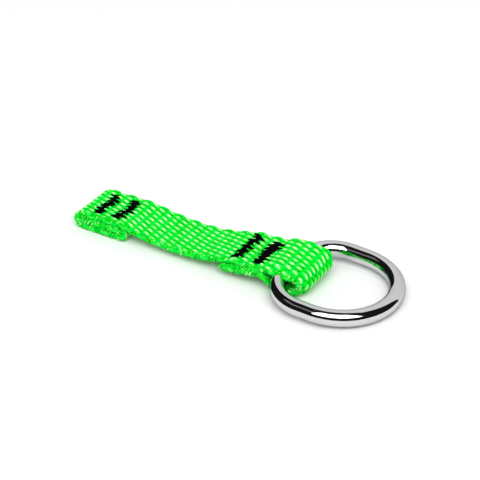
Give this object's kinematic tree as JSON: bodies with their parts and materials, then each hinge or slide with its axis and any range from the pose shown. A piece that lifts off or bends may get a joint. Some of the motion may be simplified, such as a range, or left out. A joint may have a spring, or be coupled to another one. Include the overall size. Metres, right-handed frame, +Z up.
{
  "type": "webbing tether tail",
  "caption": "Length of webbing with a rolled, sewn hem at one end and a welded wire D-ring held in a sewn loop at the other, taped to a hand tool as a tether point.",
  "frame": {"origin": "centre of the stopper hem's underside, on the plane that the tail lies on", "axes": "+X along the strap to the D-ring, +Y across the strap, +Z up"},
  "size_m": [0.0819, 0.03, 0.0068],
  "materials": {
    "webbing": "woven fluorescent green nylon",
    "thread": "black bonded sewing thread",
    "steel": "mirror-polished stainless steel wire"
  },
  "bodies": {
    "stopper_end": {"webbing_stopper_end": "webbing", "needle_thread_stopper_outer": "thread", "needle_thread_stopper_inner": "thread", "bobbin_thread_stopper_outer": "thread", "bobbin_thread_stopper_inner": "thread"},
    "ring_end": {"webbing_ring_end": "webbing", "needle_thread_ring_inner": "thread", "needle_thread_ring_outer": "thread", "bobbin_thread_ring_inner": "thread", "bobbin_thread_ring_outer": "thread"},
    "ring": {"d_ring": "steel"}
  },
  "joints": [
    {"name": "strap_flex", "type": "hinge", "parent": "stopper_end", "child": "ring_end", "pos_m": [0.01295, 0, 0.0025], "axis": [0, -1, 0], "range_deg": [-90, 90], "stiffness_Nm_per_rad": 0.004},
    {"name": "ring_swing", "type": "hinge", "parent": "ring_end", "child": "ring", "pos_m": [0.0462, 0, 0.0034], "axis": [0, -1, 0], "range_deg": [-165, 175]}
  ]
}
